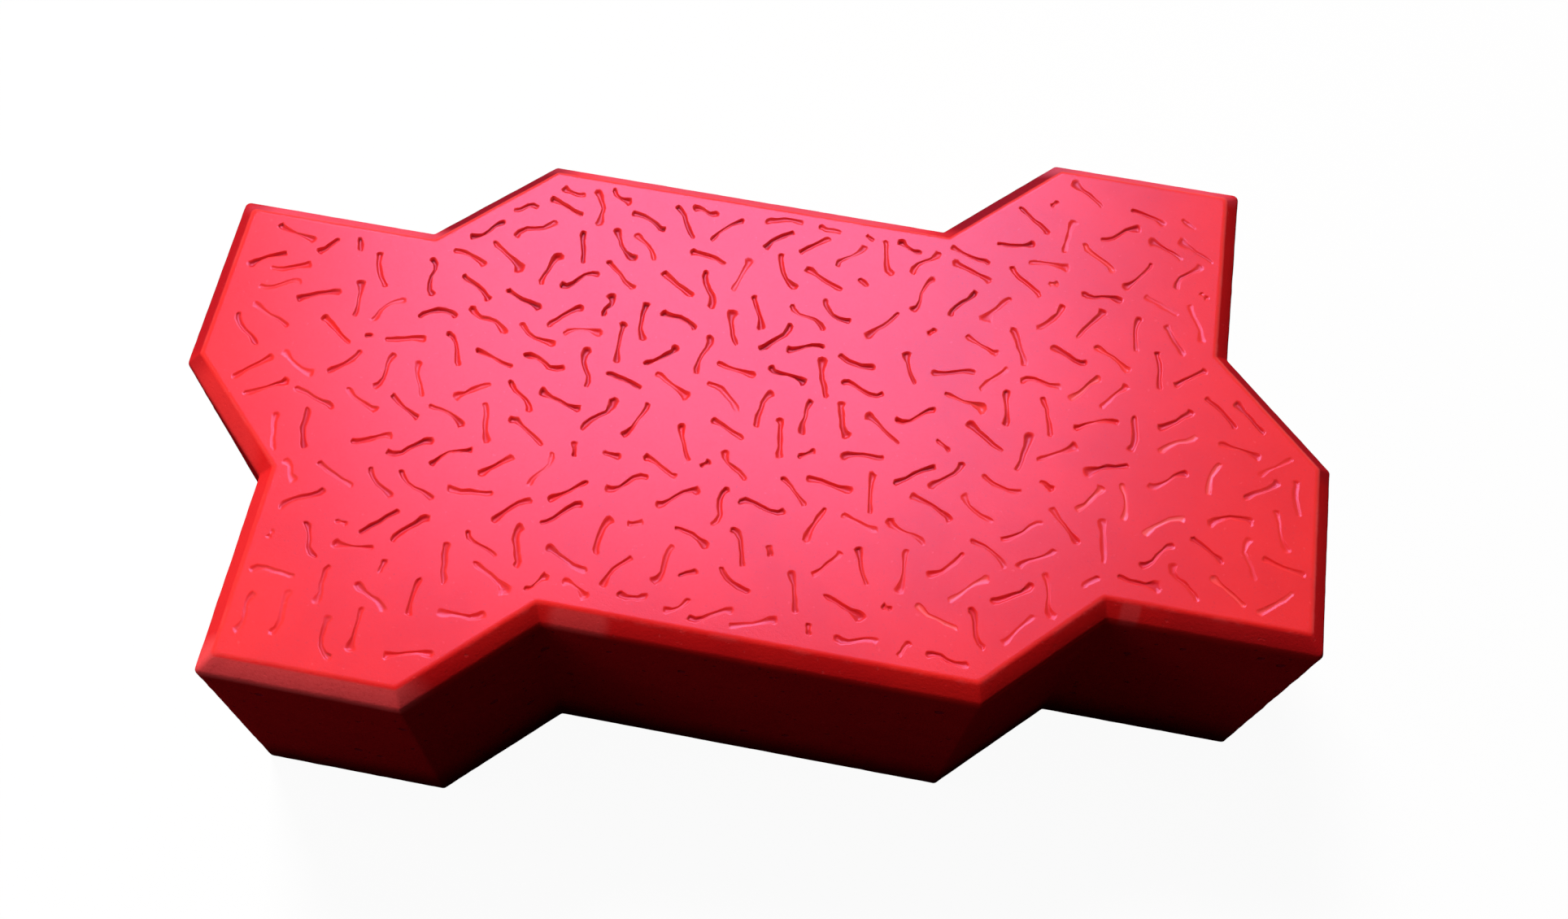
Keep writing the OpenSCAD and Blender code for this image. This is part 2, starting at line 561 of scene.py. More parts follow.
def zigzag_outline(nodes, straight, step, corner_radius, facet_length):
    """The closed outline of one cell of the laying pattern, clockwise. Its points carry their mitres."""
    index = nodes.index()
    wave = (index / EDGES_PER_WAVE).floor()
    slanting = (index % EDGES_PER_WAVE).equals(1)
    edge = nodes.vector(nodes.blend(slanting, straight, step), slanting * step)
    # The small number keeps a whole result from falling to the side before.
    side = (wave * SIDES_PER_WAVE + 0.01).floor()
    edge = nodes.turned(edge, side * (-math.pi / 2))
    corner = nodes.add("GeometryNodeAccumulateField", {"data_type": "FLOAT_VECTOR", "domain": "POINT"},
                       {"Value": edge}, "Trailing")
    # The cell is the same after half a turn, so its middle lies halfway to its opposite corner.
    middle = nodes.at_index(corner, OUTLINE_EDGES // 2) * 0.5

    # The mitre is the move of a corner when both of its edges go in by 1.
    after = nodes.turned(nodes.math("NORMALIZE", edge), -math.pi / 2)
    before = nodes.at_index(after, (index + (OUTLINE_EDGES - 1)) % OUTLINE_EDGES)
    agreement = nodes.add("ShaderNodeVectorMath", {"operation": "DOT_PRODUCT"},
                          {0: before, 1: after}, "Value")
    mitre = (before + after) / (1 + agreement)

    line = nodes.store(nodes.line_of(OUTLINE_EDGES), "mitre", mitre, "FLOAT_VECTOR")
    line = nodes.store(line, "bent", agreement < IN_LINE)
    line = nodes.place(line, corner - middle)
    ring = nodes.add("GeometryNodeSetSplineCyclic", {}, {"Geometry": line, "Cyclic": True})
    ring = nodes.rounded(ring, nodes.attribute("bent") * corner_radius)
    return nodes.divided(ring, facet_length)


def edge_profile(nodes, size):
    """The stone's section at its side, from the bed face up: X is the inset and Z the height."""
    index = nodes.index()
    above = index > ARRIS - 0.5
    on_bed = size("Bed radius") * index.equals(ON_BED) * BED_MARGIN
    on_face = size("Arris radius") * index.equals(ON_FACE) * FACE_MARGIN
    inset = size("Half joint") + on_bed + on_face + size("Chamfer width") * above
    shoulder = index.equals(SHOULDER)
    level = (size("Height") - size("Chamfer depth")) * shoulder + size("Height") * above
    line = nodes.place(nodes.line_of(ON_FACE + 1), nodes.vector(inset, 0, level))
    upper = nodes.blend(shoulder, size("Arris radius"), size("Shoulder radius"))
    radius = nodes.blend(index.equals(BED_EDGE), upper, size("Bed radius"))
    return nodes.divided(nodes.rounded(line, radius), size("Facet length"))


def lofted_sides(nodes, outline, profile, wander):
    """The profile carried round the outline, with cast edges that stray a little."""
    around = nodes.count(outline, "CURVE")
    rings = nodes.count(profile, "CURVE")
    grid = nodes.add("GeometryNodeMeshGrid", {}, {"Vertices X": around + 1, "Vertices Y": rings})
    index = nodes.index()
    column = (index / rings).floor()
    ring = index - column * rings
    column = column % around
    foot = nodes.sample(outline, nodes.position(), column)
    mitre = nodes.sample(outline, nodes.attribute("mitre", "FLOAT_VECTOR"), column)
    section = nodes.sample(profile, nodes.position(), ring)
    inset = nodes.add("ShaderNodeSeparateXYZ", {}, {"Vector": section})
    level = nodes.vector(0, 0, inset.output("Z"))
    broad = nodes.noise(foot + level, BROAD_WAVES, 1.0)
    fine = nodes.noise(foot + level, FINE_WAVES, 2.0)
    stray = wander * (INWARD_STRAY + broad * BROAD_STRAY + (fine - 0.5) * FINE_STRAY)
    sides = nodes.place(grid, foot + mitre * (inset + stray) + level)
    return nodes.flipped(nodes.weld(sides))


def pressed_strokes(nodes, points, lip):
    """One dished patch for each point, shaped by the point's numbers. Its lip lies in the plane Z = 0."""
    patch = nodes.add("GeometryNodeMeshGrid", {}, {
        "Size X": 1.0, "Size Y": 1.0, "Vertices X": STROKE_FACETS + 1, "Vertices Y": STROKE_RINGS})
    patch = nodes.store(patch, "patch", nodes.position(), "FLOAT_VECTOR")
    points = nodes.store(points, "middle", nodes.position(), "FLOAT_VECTOR")
    copies = nodes.add("GeometryNodeInstanceOnPoints", {}, {"Points": points, "Instance": patch})
    copies = nodes.add("GeometryNodeRealizeInstances", {}, {"Geometry": copies})
    number = {name: nodes.attribute(name) for name in STROKE_NUMBERS}

    # Across the patch, X goes once round the stroke and Y goes from its lip to the middle of its floor.
    place = nodes.add("ShaderNodeSeparateXYZ", {}, {"Vector": nodes.attribute("patch", "FLOAT_VECTOR")})
    angle = (place + 0.5) * math.tau
    down = place.output("Y") + 0.5
    cosine = nodes.math("COSINE", angle)
    # Half of the way round belongs to the two rounded ends, where the place along the stroke is -1 or 1.
    along = nodes.math("MINIMUM", nodes.math("MAXIMUM", cosine * math.sqrt(2), -1), 1)
    outward_x = nodes.math("SIGN", cosine) * nodes.math("MAXIMUM", nodes.math("COSINE", angle * 2), 0)
    side = nodes.math("SIGN", nodes.math("SINE", angle))
    outward_y = side * nodes.math("SQRT", 1 - outward_x * outward_x)

    # The middle line bows to one side, and its two ends hook to either side.
    square = along * along
    centre = nodes.attribute("middle", "FLOAT_VECTOR")
    straight_line = nodes.turned(nodes.vector(along * number["half_length"]), number["turn"]) + centre
    wiggle = (nodes.noise(straight_line, WIGGLE_WAVES, 1.0) - 0.5) * MM
    headward = nodes.math("MAXIMUM", along, 0)
    tailward = nodes.math("MAXIMUM", -along, 0)
    hooks = number["head_hook"] * headward * square + number["tail_hook"] * tailward * square
    rise = number["bow"] * (1 - square) + hooks * nodes.math("ABSOLUTE", along) + wiggle
    # Its slope follows from the same powers of the place along the stroke.
    turns = number["head_hook"] * headward * square - number["tail_hook"] * tailward * square
    slope = turns * 4 - number["bow"] * along * 2
    # The outline turns a little less than the middle line, so that it doesn't fold over at a sharp hook.
    heading = nodes.math("ARCTAN2", slope * FOLLOWED_TURN, number["half_length"])

    share = along * 0.5 + 0.5
    end = nodes.blend(share, number["tail_width"], number["head_width"])
    middle = (1 - square) * (1 - square)
    thinning = 1 - number["fade"] * middle
    spine = nodes.vector(along * number["half_length"], rise)
    beside = nodes.vector(outward_x * MM, outward_y * MM)
    lumps = nodes.noise(nodes.turned(spine + beside, number["turn"]) + centre, LUMP_WAVES, 2.0)
    lumps = nodes.math("MAXIMUM", lumps * LUMP_STRENGTH - LUMP_LOSS, LEAST_LUMP)
    lumps = nodes.math("MINIMUM", lumps, MOST_LUMP)
    narrowing = thinning * (1 - FADED_WIDTH) + FADED_WIDTH
    half_width = nodes.blend(square * square, number["waist"], end) * lumps * narrowing
    # Ring by ring, a stroke has a level lip, a steep wall and a floor.
    ring = down * (STROKE_RINGS - 1)
    inner = nodes.math("MINIMUM", (STROKE_RINGS - 1 - ring) * FLOOR_SHARE, 1)
    reach = half_width * inner + lip * nodes.math("MAXIMUM", 1 - ring, 0)
    outward = nodes.turned(nodes.vector(outward_x * reach * END_BLUNTNESS, outward_y * reach), heading)
    # The lip stays level, so the plain face around a stroke is shaded flat.
    fall = nodes.math("MINIMUM", nodes.math("MAXIMUM", ring - 1, 0), 1)
    humps = nodes.noise(nodes.turned(spine, number["turn"]) + centre, HUMP_WAVES, 1.0)
    depth = nodes.blend(share, number["tail_depth"], number["head_depth"]) * thinning * (0.5 + humps)
    stroke = nodes.turned(spine + outward, number["turn"]) + centre + nodes.vector(0, 0, -(fall * depth))
    copies = nodes.place(copies, stroke)
    copies = nodes.store(copies, "groove", nodes.math("MINIMUM", fall * depth / MM, 1))
    # Dark dust with painted shade on the stroke's wall and floor; below 0, pale dust with a painted
    # highlight.
    copies = nodes.store(copies, "dust", fall * number["dirt"])
    return nodes.weld(copies)


def stone_tree(sizes):
    """The geometry tree of the whole stone: sides, bed face, and wearing face with its strokes."""
    tree = bpy.data.node_groups.new("Paving stone", "GeometryNodeTree")
    tree.interface.new_socket("Geometry", in_out="OUTPUT", socket_type="NodeSocketGeometry")
    tree.interface.new_socket("Stroke points", in_out="INPUT", socket_type="NodeSocketGeometry")
    for name in sizes:
        socket = tree.interface.new_socket(name, in_out="INPUT", socket_type="NodeSocketFloat")
        socket.subtype = "DISTANCE"
    tree.interface.new_socket("Concrete", in_out="INPUT", socket_type="NodeSocketMaterial")
    nodes = Nodes(tree)
    given = nodes.add("NodeGroupInput")
    size = given.output

    outline = zigzag_outline(
        nodes, size("Straight"), size("Step"), size("Corner radius"), size("Facet length"))
    profile = edge_profile(nodes, size)
    sides = lofted_sides(nodes, outline, profile, size("Edge wander"))
    height = nodes.add("ShaderNodeSeparateXYZ", {}, {"Vector": nodes.position()}, "Z")
    upper = height > size("Height") * 0.5
    bed = nodes.flipped(nodes.filled(nodes.open_edges(sides, 1 - upper)))

    strokes = pressed_strokes(nodes, size("Stroke points"), size("Lip"))
    rims = nodes.join(nodes.open_edges(sides, upper), nodes.open_edges(strokes))
    wearing_face = nodes.join(nodes.filled(rims), strokes)
    wearing_face = nodes.moved(wearing_face, nodes.vector(0, 0, size("Height")))

    stone = nodes.weld(nodes.join(sides, bed, wearing_face))
    stone = nodes.add("GeometryNodeSetShadeSmooth", {"domain": "FACE"},
                      {"Geometry": stone, "Shade Smooth": True})
    stone = nodes.add("GeometryNodeRealizeInstances", {}, {"Geometry": stone})
    stone = nodes.add("GeometryNodeSetMaterial", {}, {"Geometry": stone, "Material": size("Concrete")})
    nodes.add("NodeGroupOutput", {}, {"Geometry": stone})
    return tree


def wearing_face_corners():
    """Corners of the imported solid's wearing face, in order round its middle, rounded to a micrometre."""
    top = {(round(v.co.x, 6), round(v.co.y, 6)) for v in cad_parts[NODE].data.vertices
           if v.co.z > HIGHEST.z - 0.1 * MM}
    return [Vector(c) for c in sorted(top, key=lambda c: math.atan2(c[1], c[0]))]


def room_inside(point, corners):
    """Distance from a point to the nearest edge of a ring of corners, below 0 outside the ring."""
    crossings = 0
    nearest = math.inf
    for a, b in zip(corners, corners[1:] + corners[:1]):
        if (a.y > point.y) != (b.y > point.y):
            crossings += point.x < a.x + (point.y - a.y) * (b.x - a.x) / (b.y - a.y)
        share = (point - a).dot(b - a) / (b - a).length_squared
        nearest = min(nearest, (point - a.lerp(b, min(max(share, 0), 1))).length)
    return nearest if crossings % 2 else -nearest


def wear_at(place):
    """How worn the wearing face is at a place, from 0 to 1."""
    away = place - WEAR_CENTRE
    away = math.hypot(away.x / WEAR_REACH.x, away.y / WEAR_REACH.y)
    return min(max((away - WEAR_FROM) / (WEAR_TO - WEAR_FROM), 0), 1)


class Stroke:
    """One stroke: the numbers of its shape, and its place once it is laid."""

    # Ranges of the sizes, as shares of the pattern's usual length, width and depth.
    HALF_LENGTHS = 0.38, 0.48
    WAISTS = 0.32, 0.52
    HEADS = 0.55, 0.95
    TAILS = 0.42, 0.80
    DEPTHS = 0.5, 1.25
    # Range of the tail's depth, as a share of the head's.
    TAIL_DEPTHS = 0.35, 1.0
    # Spread of the bow and the hooks of most strokes, in millimetres.
    BOW_SPREAD, HOOK_SPREAD = 0.15, 0.3
    # Ranges of a crook's hooks and of an arc's bow, in millimetres.
    CROOK_HEADS = 0.7, 1.6
    CROOK_TAILS = 0.2, 1.4
    ARC_BOWS = 0.5, 1.1
    # What a club and a dot have of the usual head, tail and length.
    CLUB_HEADS = 1.1, 1.5
    CLUB_TAIL = 0.7
    DOT_LENGTHS = 0.1, 0.4
    DOT_ENDS = 0.8
    # Least dark dust and painted shade, what chance adds to it, and the power that makes much of it likelier
    # than little.
    LEAST_DUST, ADDED_DUST, DUST_POWER = 0.18, 0.5, 0.6
    # How far the middle of a stroke fades out: usual, spread and most.
    USUAL_FADE, FADE_SPREAD, MOST_FADE = 0.2, 0.35, 0.9

    def __init__(self, chance, pattern):
        kind = chance.choices(tuple(STROKE_KINDS), tuple(STROKE_KINDS.values()))[0]
        self.half_length = pattern.length * chance.uniform(*self.HALF_LENGTHS)
        self.waist = pattern.width * chance.uniform(*self.WAISTS)
        self.head_width = pattern.width * chance.uniform(*self.HEADS)
        self.tail_width = pattern.width * chance.uniform(*self.TAILS)
        self.bow = chance.gauss(0, self.BOW_SPREAD) * MM
        self.head_hook = chance.gauss(0, self.HOOK_SPREAD) * MM
        self.tail_hook = chance.gauss(0, self.HOOK_SPREAD) * MM
        self.head_depth = pattern.depth * chance.uniform(*self.DEPTHS)
        self.tail_depth = self.head_depth * chance.uniform(*self.TAIL_DEPTHS)
        self.dirt = self.LEAST_DUST + self.ADDED_DUST * chance.random() ** self.DUST_POWER
        self.fade = min(max(0, chance.gauss(self.USUAL_FADE, self.FADE_SPREAD)), self.MOST_FADE)
        if kind == "crook":
            side = chance.choice((-1, 1))
            self.head_hook = side * chance.uniform(*self.CROOK_HEADS) * MM
            self.tail_hook = -side * chance.uniform(*self.CROOK_TAILS) * MM
        elif kind == "arc":
            self.bow = chance.choice((-1, 1)) * chance.uniform(*self.ARC_BOWS) * MM
        elif kind == "club":
            self.head_width *= chance.uniform(*self.CLUB_HEADS)
            self.tail_width *= self.CLUB_TAIL
        elif kind == "dot":
            self.half_length *= chance.uniform(*self.DOT_LENGTHS)
            self.head_width *= self.DOT_ENDS
            self.tail_width *= self.DOT_ENDS
            self.bow = 0
            self.head_hook = 0
            self.tail_hook = 0

    def lay(self, middle, turn, half_length):
        self.middle = middle
        self.turn = turn
        self.half_length = half_length

    def weather(self, chance, end_wear):
        """Wears the stroke as its place is worn. Chance makes it faint or fills it with pale dust that
        paints a highlight.
        """
        wear = wear_at(self.middle)
        self.head_depth *= 1 - end_wear * wear
        self.tail_depth *= 1 - end_wear * wear
        if chance.random() < FAINT_SHARE:
            self.head_depth *= FAINT_DEPTH
            self.tail_depth *= FAINT_DEPTH
            self.dirt *= FAINT_DUST_SHADE
        # Pale dust, which also paints a highlight, counts below 0.
        rightward = min(max(self.middle.x / PALE_REACH, LEAST_PALE), 1)
        if chance.random() < PALE_SHARE * rightward * wear:
            self.dirt = -chance.uniform(*PALE_DUST_HIGHLIGHT)

    def spine(self, middle, turn, half_length):
        """Points along the middle line at a place, with the half width at each."""
        points = []
        cosine, sine = math.cos(turn), math.sin(turn)
        for i in range(SPINE_POINTS):
            a = i / (SPINE_POINTS // 2) - 1
            hook = self.head_hook if a > 0 else self.tail_hook
            end = self.head_width if a > 0 else self.tail_width
            x = a * half_length
            y = self.bow * (1 - a * a) + hook * a ** 4
            half_width = self.waist + (end - self.waist) * a ** 4
            points.append((middle + Vector((x * cosine - y * sine, x * sine + y * cosine)), half_width))
        return points


def stroke_turn(chance):
    """Direction of a stroke: most lie near one of the main directions, the rest anywhere."""
    lie = chance.choices(tuple(STROKE_LIES), tuple(STROKE_LIES.values()))[0]
    degrees = chance.uniform(-90, 90) if lie is None else chance.gauss(lie, LIE_SPREAD)
    return math.radians(degrees) + chance.choice((0, math.pi))


def room_between(spine, others):
    """Least width of plain face between a stroke and the strokes already placed."""
    gaps = ((p - q).length - w - v for other in others for q, v in other for p, w in spine)
    return min(gaps, default=math.inf)


def clearest_place(chance, pattern, stroke, grid_point, near, face, edge_room):
    """The place near a grid point where a stroke has the most room, or None where it doesn't fit."""
    best, best_room = None, pattern.gap
    for attempt in range(STROKE_TRIES):
        # Where a stroke doesn't fit, the later tries are shorter.
        shrink = 1 if attempt < STROKE_TRIES / 2 or best else SHORTER_TRY
        jitter = Vector((chance.uniform(-1, 1), chance.uniform(-1, 1))) * pattern.spacing * STROKE_JITTER
        place = (grid_point + jitter, stroke_turn(chance), stroke.half_length * shrink)
        spine = stroke.spine(*place)
        if min(room_inside(p, face) - w for p, w in spine) < edge_room:
            continue
        room = min(room_between(spine, near) - 2 * pattern.lip, ENOUGH_ROOM)
        if room > best_room:
            best, best_room = place, room
    return best


def stroke_layout(pattern, face_margin):
    """Strokes on a loose triangular grid, each in the clearest of several places. The seed fixes them."""
    chance = random.Random(pattern.seed)
    dust_chance = random.Random(pattern.seed)
    face = wearing_face_corners()
    edge_room = pattern.lip + face_margin + EDGE_GAP
    row_height = pattern.spacing * math.sqrt(3) / 2
    columns = math.ceil(STONE_SIZE.x / pattern.spacing / 2)
    rows = math.ceil(STONE_SIZE.y / row_height / 2)
    strokes = []
    spines = []
    for row in range(-rows, rows + 1):
        for column in range(-columns, columns + 1):
            grid_point = Vector(((column + 0.5 * (row % 2)) * pattern.spacing, row * row_height))
            if room_inside(grid_point, face) < -pattern.spacing / 2:
                continue
            near = [s for s in spines
                    if (s[SPINE_POINTS // 2][0] - grid_point).length < 2 * pattern.length]
            stroke = Stroke(chance, pattern)
            place = clearest_place(chance, pattern, stroke, grid_point, near, face, edge_room)
            if place and chance.random() > pattern.missing:
                stroke.lay(*place)
                stroke.weather(dust_chance, pattern.end_wear)
                strokes.append(stroke)
                spines.append(stroke.spine(*place))
    return strokes


def oval_patch(nodes, place, x, y, half_length, half_width, turn):
    """1 inside a soft oval, seen from above. Its place and size are in millimetres."""
    own = nodes.add("ShaderNodeMapping", {"vector_type": "TEXTURE"}, {
        "Vector": place, "Location": (x, y, 0), "Rotation": (0, 0, math.radians(turn)),
        "Scale": (half_length, half_width, OVAL_HEIGHT)})
    distance = nodes.add("ShaderNodeVectorMath", {"operation": "LENGTH"}, {0: own}, "Value")
    return 1 - nodes.step(distance, *OVAL_FADE)


def air_holes(nodes, place, closeness):
    """1 inside the round holes that air leaves in a cast face. Closeness is their number per millimetre."""
    cells = nodes.add("ShaderNodeTexVoronoi", {"feature": "F1"}, {"Vector": place, "Scale": closeness})
    share = nodes.add("ShaderNodeSeparateColor", {}, {"Color": cells.output("Color")}, "Red")
    radius = nodes.step(share, *HOLE_GROWTH) * LARGEST_HOLE
    return 1 - nodes.step(cells - radius, *HOLE_RIM)


def concrete_material(finish, shape):
    """Red dyed concrete: even pigment, fine grain, a satin pressed face, strokes with dust, painted shade
    and painted highlights, rubbed edges, and painted shade, highlights and sheen on the chamfer and the
    sides.
    """
    material = bpy.data.materials.new("cast_red_concrete")
    material.use_nodes = True
    material.node_tree.nodes.clear()
    nodes = Nodes(material.node_tree)
    metres = nodes.add("ShaderNodeTexCoord", {}, {}, "Object")
    place = metres * (1 / MM)
    height = nodes.add("ShaderNodeSeparateXYZ", {}, {"Vector": place}, "Z")
    groove = nodes.add("ShaderNodeAttribute", {"attribute_name": "groove"}, {}, "Fac")
    # Each stroke's dust with its painted shade, or below 0 its pale dust with a painted highlight.
    dust = nodes.add("ShaderNodeAttribute", {"attribute_name": "dust"}, {}, "Fac")

    # Patterns that run all over the stone.
    mottle = nodes.step(nodes.noise(place, *MOTTLE), 0.32, 0.68)
    cloud = nodes.noise(place, *CLOUD)
    grain = nodes.noise(place, *GRAIN)
    sand = nodes.noise(place, *SAND)
    specks = nodes.step(nodes.noise(place, *SPECKS), 0.68, 0.74)

    # Parts of the stone, told apart by height and by the strokes' depth.
    top = HIGHEST.z / MM
    shoulder = top - shape.chamfer_depth / MM

    def rise(start, fade):
        """A smooth step up between two distances below a height."""
        return nodes.step(height, start - fade[0], start - fade[1])

    in_stroke = nodes.step(groove, 0.02, 0.2)
    on_side = 1 - rise(shoulder, SIDE_FADE)
    pressed = nodes.math("MAXIMUM", rise(top, FACE_FADE), in_stroke * STROKE_FILM)
    on_chamfer = (1 - pressed) * (1 - on_side)
    upper_arris = rise(top, ARRIS_FADE_IN) * (1 - rise(top, ARRIS_FADE_OUT))
    sparse = air_holes(nodes, place, SPARSE_HOLES)
    dense = air_holes(nodes, place, DENSE_HOLES)
    pores = on_side * nodes.math("MAXIMUM", sparse, dense)

    # Wear, and painted highlights, shade and sheen.
    worn = upper_arris * (1 - in_stroke) * nodes.step(cloud + (grain - 0.5) * 0.5, 0.46, 0.66)
    # The sides start with painted shade; the chamfer patches add painted highlights, shade and sheen.
    painted_highlight, painted_shade_mask, painted_sheen_mask = 0, on_side * SIDE_DARK_SHADE, 0
    for *oval, highlight, painted_shade, painted_sheen in CHAMFER_LIGHT_PATCHES:
        patch = oval_patch(nodes, place, *oval) * on_chamfer
        painted_highlight = nodes.math("MAXIMUM", patch * highlight, painted_highlight)
        painted_shade_mask = nodes.math("MAXIMUM", patch * painted_shade, painted_shade_mask)
        painted_sheen_mask = nodes.math("MAXIMUM", patch * painted_sheen, painted_sheen_mask)
    # Painted shade that darkens the foot of the sides towards the bed face.
    foot_shade_mask = 1 - nodes.step(height + (cloud - 0.5) * FOOT_SHADE_RAGGEDNESS, 0, FOOT_SHADE_HEIGHT)
    foot_shade_mask = foot_shade_mask * nodes.step(height, *FOOT_SHADE_RIM)

    # The colour, from the pigment through the painted light to the dust and painted shade in the strokes on
    # top.
    colour = nodes.tint(0.5 + mottle * 0.5, (*finish.deep_pigment, 1), (*finish.pigment, 1))
    # Deep pigment in the clouds, and painted shade on the whole chamfer and on the sides.
    deep_tone_and_shade = nodes.step(cloud, 0.5, 0.8) * DEEP_CLOUDS + on_chamfer * CHAMFER_SHADE
    deep_tone_and_shade = deep_tone_and_shade + on_side * (SIDE_SHADE + cloud * SIDE_SHADE_CLOUDS)
    colour = nodes.tint(deep_tone_and_shade, colour, (*finish.deep_pigment, 1))
    pale_and_highlight = nodes.step(grain, 0.62, 0.85) * PALE_GRAINS + specks * PALE_SPECKS + worn * PALE_ARRIS
    # Pale dust in the strokes, with a painted highlight.
    pale_and_highlight = nodes.math("MAXIMUM", pale_and_highlight, -dust)
    # Painted highlights on the chamfer patches.
    pale_and_highlight = nodes.math("MAXIMUM", pale_and_highlight, painted_highlight * (0.7 + grain * 0.6))
    colour = nodes.tint(pale_and_highlight, colour, (*finish.bloom_and_highlight, 1))
    unevenness = 0.8 + grain * 0.4
    # Painted shade on the sides and on parts of the chamfer.
    colour = nodes.tint(painted_shade_mask * unevenness, colour, (*finish.painted_shade, 1))
    # Painted sheen on the chamfers along the back.
    colour = nodes.tint(painted_sheen_mask * unevenness, colour, (*finish.painted_sheen, 1))
    # Painted shade at the foot of the sides.
    colour = nodes.tint(foot_shade_mask * FOOT_SHADE_STRENGTH, colour, (*finish.foot_shade, 1))
    # Dark grains, painted shade in the air holes, and in the strokes dust with painted shade, darker where
    # deeper.
    dark_and_shade = nodes.step(1 - grain, 0.58, 0.8) * DARK_GRAINS + pores * HOLE_SHADE
    dark_and_shade = nodes.math("MAXIMUM", dark_and_shade, nodes.math("SQRT", groove) * dust)
    colour = nodes.tint(dark_and_shade, colour, (*finish.groove_dust_and_shade, 1))

    dullness = finish.roughness + (grain - 0.5) * GRAIN_DULLNESS + (cloud - 0.5) * CLOUD_DULLNESS
    film = pressed * finish.film * (1.1 - nodes.step(grain, 0.45, 0.8) * 0.2)
    relief = (cloud - 0.5) * CLOUD_RELIEF + (grain - 0.5) * GRAIN_RELIEF + (sand - 0.5) * SAND_RELIEF
    relief = relief - pores * HOLE_RELIEF - specks * SPECK_RELIEF + (grain - 0.5) * on_side * SIDE_RELIEF
    bump = nodes.add("ShaderNodeBump", {}, {"Height": relief, "Distance": MM, "Strength": 1.0})
    surface = nodes.add("ShaderNodeBsdfPrincipled", {}, {
        "Base Color": colour, "Roughness": dullness, "Normal": bump, "Specular IOR Level": 0.0,
        "Coat Weight": film, "Coat Roughness": finish.film_roughness})
    nodes.add("ShaderNodeOutputMaterial", {}, {"Surface": surface})
    return material


def seen_directly(nodes):
    """1 for the rays that show a surface as itself: camera, glossy and transmission rays."""
    path = nodes.add("ShaderNodeLightPath", {}, {}, "Is Camera Ray")
    return nodes.math("MAXIMUM", path, nodes.math("MAXIMUM", path.output("Is Glossy Ray"),
                                                  path.output("Is Transmission Ray")))


def floor_material(look):
    """A pale floor that keeps the stone's shadow and throws little light back up."""
    material = bpy.data.materials.new("pale_floor")
    material.use_nodes = True
    material.node_tree.nodes.clear()
    nodes = Nodes(material.node_tree)
    seen = seen_directly(nodes)
    colour = nodes.tint(seen, FLOOR_GREY, (*look.floor_colour, 1))
    lit = nodes.add("ShaderNodeBsdfDiffuse", {}, {"Color": colour})
    white = nodes.add("ShaderNodeEmission", {}, {"Color": WHITE, "Strength": 1.0})
    surface = nodes.add("ShaderNodeMixShader", {}, {0: seen * FLOOR_GLOW, 1: lit, 2: white})
    nodes.add("ShaderNodeOutputMaterial", {}, {"Surface": surface})
    return material


def light_world(look):
    """White where it is seen, and a low even light elsewhere. The room in front of the stone stays dim."""
    world = bpy.data.worlds.new("studio")
    world.use_nodes = True
    world.node_tree.nodes.clear()
    nodes = Nodes(world.node_tree)
    direction = nodes.add("ShaderNodeTexCoord", {}, {}, "Generated")
    ahead = nodes.add("ShaderNodeSeparateXYZ", {}, {"Vector": direction}, "Y")
    camera = nodes.add("ShaderNodeLightPath", {}, {}, "Is Camera Ray")
    shown = seen_directly(nodes) * nodes.math("MAXIMUM", camera, nodes.step(ahead, *ROOM_FADE))
    strength = nodes.blend(shown, look.ambient, 1.0)
    sky = nodes.add("ShaderNodeBackground", {}, {"Color": WHITE, "Strength": strength})
    nodes.add("ShaderNodeOutputWorld", {}, {"Surface": sky})
    bpy.context.scene.world = world


def soft_light(name, colour, power):
    """A square soft light in its place, shining at the middle of the stone's bed face."""
    heading, elevation, distance, size = LIGHT_PLACES[name]
    light = bpy.data.lights.new(name, "AREA")
    light.size = size
    light.color = colour
    light.energy = power
    lamp = bpy.data.objects.new(name, light)
    a, e = math.radians(heading), math.radians(elevation)
    towards = Vector((math.sin(a) * math.cos(e), math.cos(a) * math.cos(e), math.sin(e)))
    lamp.location = towards * distance
    lamp.rotation_euler = (-towards).to_track_quat("-Z", "Y").to_euler()
    lamp.visible_camera = False
    bpy.context.scene.collection.objects.link(lamp)
    return lamp


def plain_mesh(points, tree, values):
    """The mesh that a geometry tree makes from a mesh of points, with nothing live left on it."""
    maker = bpy.data.objects.new("stroke_points", points)
    bpy.context.scene.collection.objects.link(maker)
    modifier = maker.modifiers.new("Paving stone", "NODES")
    modifier.node_group = tree
    for item in tree.interface.items_tree:
        if item.in_out == "INPUT" and item.name in values:
            modifier[item.identifier] = values[item.name]
    graph = bpy.context.evaluated_depsgraph_get()
    mesh = bpy.data.meshes.new_from_object(
        maker.evaluated_get(graph), preserve_all_data_layers=True, depsgraph=graph)
    bpy.data.objects.remove(maker)
    return mesh


